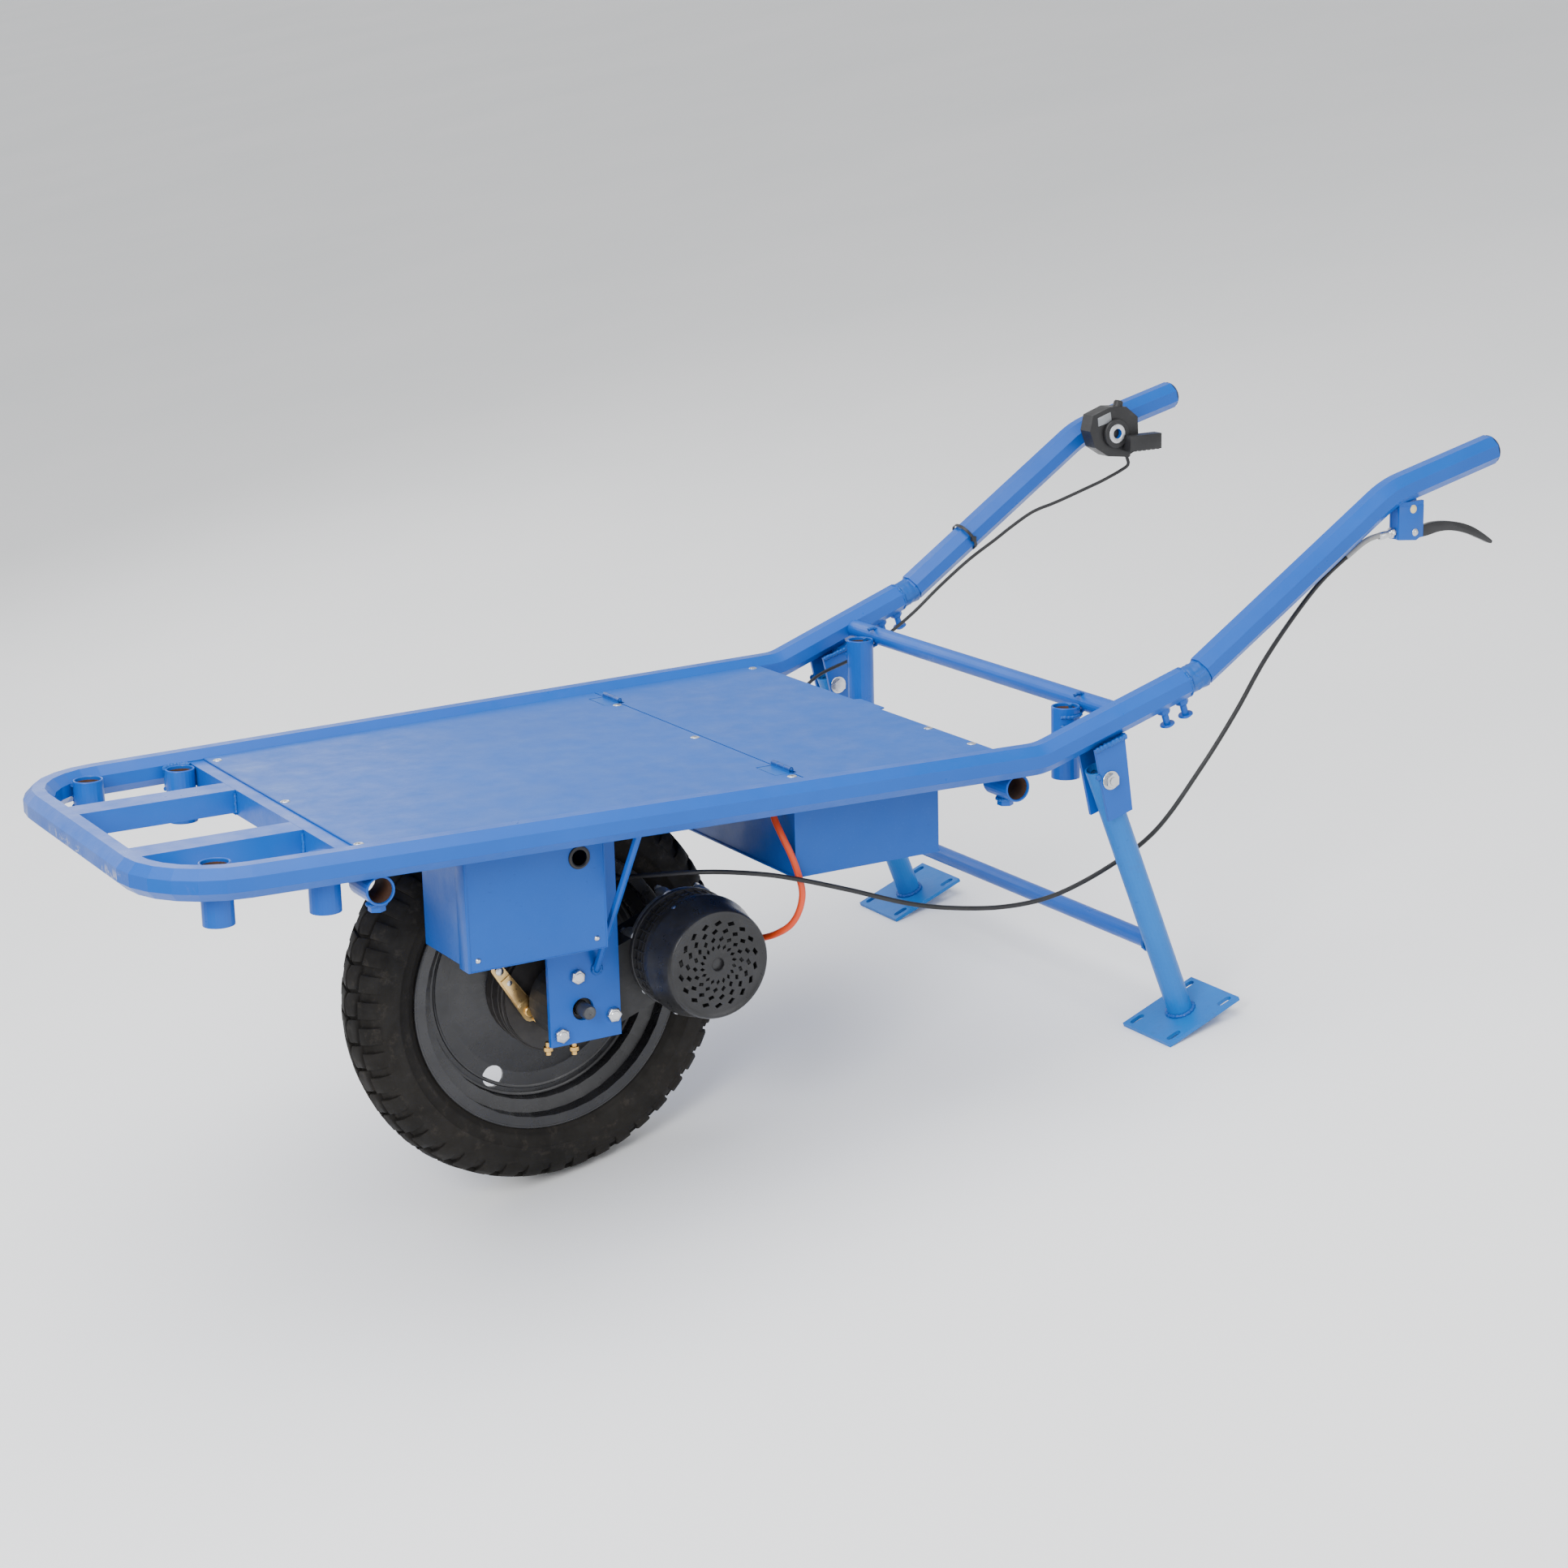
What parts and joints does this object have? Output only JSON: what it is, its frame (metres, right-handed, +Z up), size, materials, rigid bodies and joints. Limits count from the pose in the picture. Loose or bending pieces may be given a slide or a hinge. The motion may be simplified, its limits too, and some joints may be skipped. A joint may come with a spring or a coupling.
{
  "type": "power wheelbarrow",
  "caption": "Electric flat-bed barrow: bent-tube frame and steel deck over one driven wheel, with sliding handles and a folding rear stand.",
  "frame": {"origin": "centre of the bounding box in plan, on the ground", "axes": "+X forward towards the wheel end, +Y to the operator's left, +Z up; the deck slopes up to the front by 11.2 degrees because the object stands on its tyre and its foot plates"},
  "size_m": [1.8185, 0.739, 0.638],
  "materials": {
    "frame_paint": "semi-gloss blue paint over steel, chipped at the front",
    "deck_paint": "blue paint, slightly faded and speckled",
    "black_steel": "black enamel",
    "black_alloy": "black coated alloy",
    "steel": "zinc-plated steel",
    "zinc_plate": "yellow zinc plating",
    "aluminium": "bare finned aluminium",
    "cast_aluminium": "as-cast aluminium",
    "tyre_rubber": "matt black rubber",
    "black_plastic": "moulded black plastic",
    "navy_plastic": "moulded dark blue plastic",
    "cable_black": "black plastic sheath",
    "cable_red": "orange-red plastic sheath"
  },
  "bodies": {
    "frame": {"frame_loop": "frame_paint", "front_cross_member": "frame_paint", "seam_cross_member": "frame_paint", "rear_cross_member": "frame_paint", "rear_cross_tube": "frame_paint", "left_front_bar": "frame_paint", "left_deck_beam": "frame_paint", "left_front_pocket": "frame_paint", "left_mid_pocket": "frame_paint", "left_rear_pocket": "frame_paint", "left_front_socket": "frame_paint", "left_rear_socket": "frame_paint", "right_front_bar": "frame_paint", "right_deck_beam": "frame_paint", "right_front_pocket": "frame_paint", "right_mid_pocket": "frame_paint", "right_rear_pocket": "frame_paint", "right_front_socket": "frame_paint", "right_rear_socket": "frame_paint", "front_deck_plate": "deck_paint", "left_lid_hinge": "deck_paint", "right_lid_hinge": "deck_paint", "battery_box": "frame_paint", "battery_pack": "black_plastic", "controller_box": "frame_paint", "controller_cover": "frame_paint", "motor_controller": "aluminium", "left_dropout": "frame_paint", "right_dropout": "frame_paint", "gearbox_housing": "cast_aluminium", "motor_housing": "aluminium", "motor_fan_cap": "black_plastic", "right_bearing": "cast_aluminium", "brake_backing_plate": "black_steel", "left_leg_bracket": "frame_paint", "left_pivot_bolt": "steel", "right_leg_bracket": "frame_paint", "right_pivot_bolt": "steel", "brake_cable": "cable_black", "motor_lead": "cable_red", "throttle_cable": "cable_black"},
    "wheel": {"tyre": "tyre_rubber", "rim": "black_steel", "brake_drum": "black_steel", "wheel_axle": "steel"},
    "first_gear": {"first_reduction_gear": "steel"},
    "second_gear": {"second_reduction_gear": "steel"},
    "rotor": {"motor_rotor": "steel"},
    "stand": {"left_leg": "frame_paint", "right_leg": "frame_paint", "stand_cross_tube": "frame_paint"},
    "lid": {"battery_lid": "deck_paint"},
    "left_grip": {"left_handle": "frame_paint", "left_grip_plug": "navy_plastic"},
    "lever": {"brake_lever": "black_alloy"},
    "right_grip": {"right_handle": "frame_paint", "right_grip_plug": "navy_plastic", "throttle_body": "black_plastic"},
    "thumb_paddle": {"throttle_paddle": "black_plastic"},
    "arm": {"brake_arm": "zinc_plate"}
  },
  "joints": [
    {"name": "wheel_spin", "type": "hinge", "parent": "frame", "child": "wheel", "pos_m": [0.40727, 0, 0.25], "axis": [0, 1, 0], "continuous": true},
    {"name": "first_gear_spin", "type": "hinge", "parent": "frame", "child": "first_gear", "pos_m": [0.35781, 0, 0.2573], "axis": [0, 1, 0], "continuous": true},
    {"name": "second_gear_spin", "type": "hinge", "parent": "frame", "child": "second_gear", "pos_m": [0.30711, 0, 0.26479], "axis": [0, 1, 0], "continuous": true},
    {"name": "rotor_spin", "type": "hinge", "parent": "frame", "child": "rotor", "pos_m": [0.25764, 0, 0.27209], "axis": [0, 1, 0], "continuous": true},
    {"name": "stand_fold", "type": "hinge", "parent": "frame", "child": "stand", "pos_m": [-0.24795, 0, 0.35674], "axis": [0, -1, 0], "range_deg": [0, 84], "deforming": ["brake_cable"]},
    {"name": "lid_open", "type": "hinge", "parent": "frame", "child": "lid", "pos_m": [0.12029, 0, 0.47911], "axis": [0, 1, 0], "range_deg": [0, 170]},
    {"name": "left_handle_slide", "type": "slide", "parent": "frame", "child": "left_grip", "axis": [-0.9909, 0.0559, 0.1227], "range_m": [0, 0.06], "deforming": ["brake_cable"]},
    {"name": "right_handle_slide", "type": "slide", "parent": "frame", "child": "right_grip", "axis": [-0.9909, -0.0559, 0.1227], "range_m": [0, 0.06], "deforming": ["throttle_cable"]},
    {"name": "brake_lever_pull", "type": "hinge", "parent": "left_grip", "child": "lever", "pos_m": [-0.75638, 0.338, 0.51497], "axis": [0, 1, 0], "range_deg": [0, 28], "stiffness_Nm_per_rad": 0.6, "springref_deg": -17.19, "deforming": ["brake_cable"]},
    {"name": "brake_arm_turn", "type": "hinge", "parent": "frame", "child": "arm", "pos_m": [0.45021, 0.072, 0.24423], "axis": [0, -1, 0], "range_deg": [0, 11.2], "deforming": ["brake_cable"]},
    {"name": "throttle_press", "type": "hinge", "parent": "right_grip", "child": "thumb_paddle", "pos_m": [-0.75166, -0.268, 0.5735], "axis": [0, -1, 0], "range_deg": [0, 45], "stiffness_Nm_per_rad": 0.12, "springref_deg": -28.65}
  ],
  "couplings": [
    {"joint": "first_gear_spin", "follows": "wheel_spin", "ratio": -3},
    {"joint": "second_gear_spin", "follows": "wheel_spin", "ratio": 9.3},
    {"joint": "rotor_spin", "follows": "wheel_spin", "ratio": -27.9},
    {"joint": "brake_arm_turn", "follows": "brake_lever_pull", "ratio": 0.4}
  ]
}
